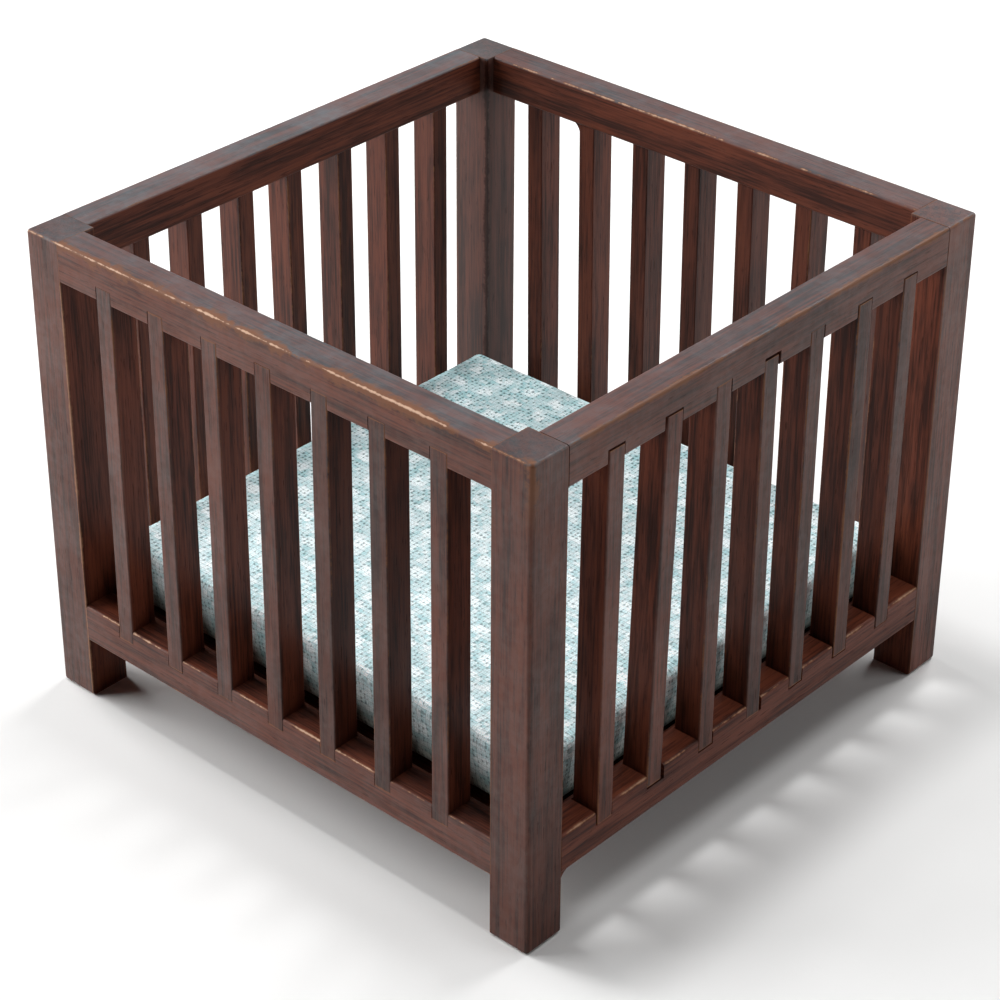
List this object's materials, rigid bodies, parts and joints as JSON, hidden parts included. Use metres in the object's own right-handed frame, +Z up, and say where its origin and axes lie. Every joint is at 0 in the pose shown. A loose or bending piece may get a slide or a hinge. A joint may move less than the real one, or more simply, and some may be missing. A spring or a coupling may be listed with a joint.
{
  "type": "miniature playpen",
  "caption": "Square slatted playpen in dark stained wood, at dolls'-house size, with corner posts as feet and a loose pad in pale blue-green basket-woven cotton that lifts out.",
  "frame": {"origin": "on the ground under the middle of the pen, at the height of the foot bottoms", "axes": "+X along the front side towards the right side, +Y from the front side to the back side, +Z up"},
  "size_m": [0.0762, 0.0762, 0.0615],
  "materials": {
    "stained_wood": "thin dark stain, satin, worn at the edges",
    "pad_cotton": "basket-woven cotton in pale and blue-green thread, with small gaps between the threads",
    "pad_foam": "fine open foam"
  },
  "bodies": {
    "pen": {"post_front_left": "stained_wood", "post_front_right": "stained_wood", "post_back_right": "stained_wood", "post_back_left": "stained_wood", "top_rail_front": "stained_wood", "top_rail_right": "stained_wood", "top_rail_back": "stained_wood", "top_rail_left": "stained_wood", "bottom_rail_front": "stained_wood", "bottom_rail_right": "stained_wood", "bottom_rail_back": "stained_wood", "bottom_rail_left": "stained_wood", "slat_front_1": "stained_wood", "slat_front_2": "stained_wood", "slat_front_3": "stained_wood", "slat_front_4": "stained_wood", "slat_front_5": "stained_wood", "slat_front_6": "stained_wood", "slat_front_7": "stained_wood", "slat_right_1": "stained_wood", "slat_right_2": "stained_wood", "slat_right_3": "stained_wood", "slat_right_4": "stained_wood", "slat_right_5": "stained_wood", "slat_right_6": "stained_wood", "slat_right_7": "stained_wood", "slat_back_1": "stained_wood", "slat_back_2": "stained_wood", "slat_back_3": "stained_wood", "slat_back_4": "stained_wood", "slat_back_5": "stained_wood", "slat_back_6": "stained_wood", "slat_back_7": "stained_wood", "slat_left_1": "stained_wood", "slat_left_2": "stained_wood", "slat_left_3": "stained_wood", "slat_left_4": "stained_wood", "slat_left_5": "stained_wood", "slat_left_6": "stained_wood", "slat_left_7": "stained_wood", "floor_board": "stained_wood"},
    "pad": {"pad_cover": "pad_cotton", "pad_foam": "pad_foam"}
  },
  "joints": [
    {"name": "pad_lift", "type": "slide", "parent": "pen", "child": "pad", "axis": [0, 0, 1], "range_m": [0, 0.058]}
  ]
}
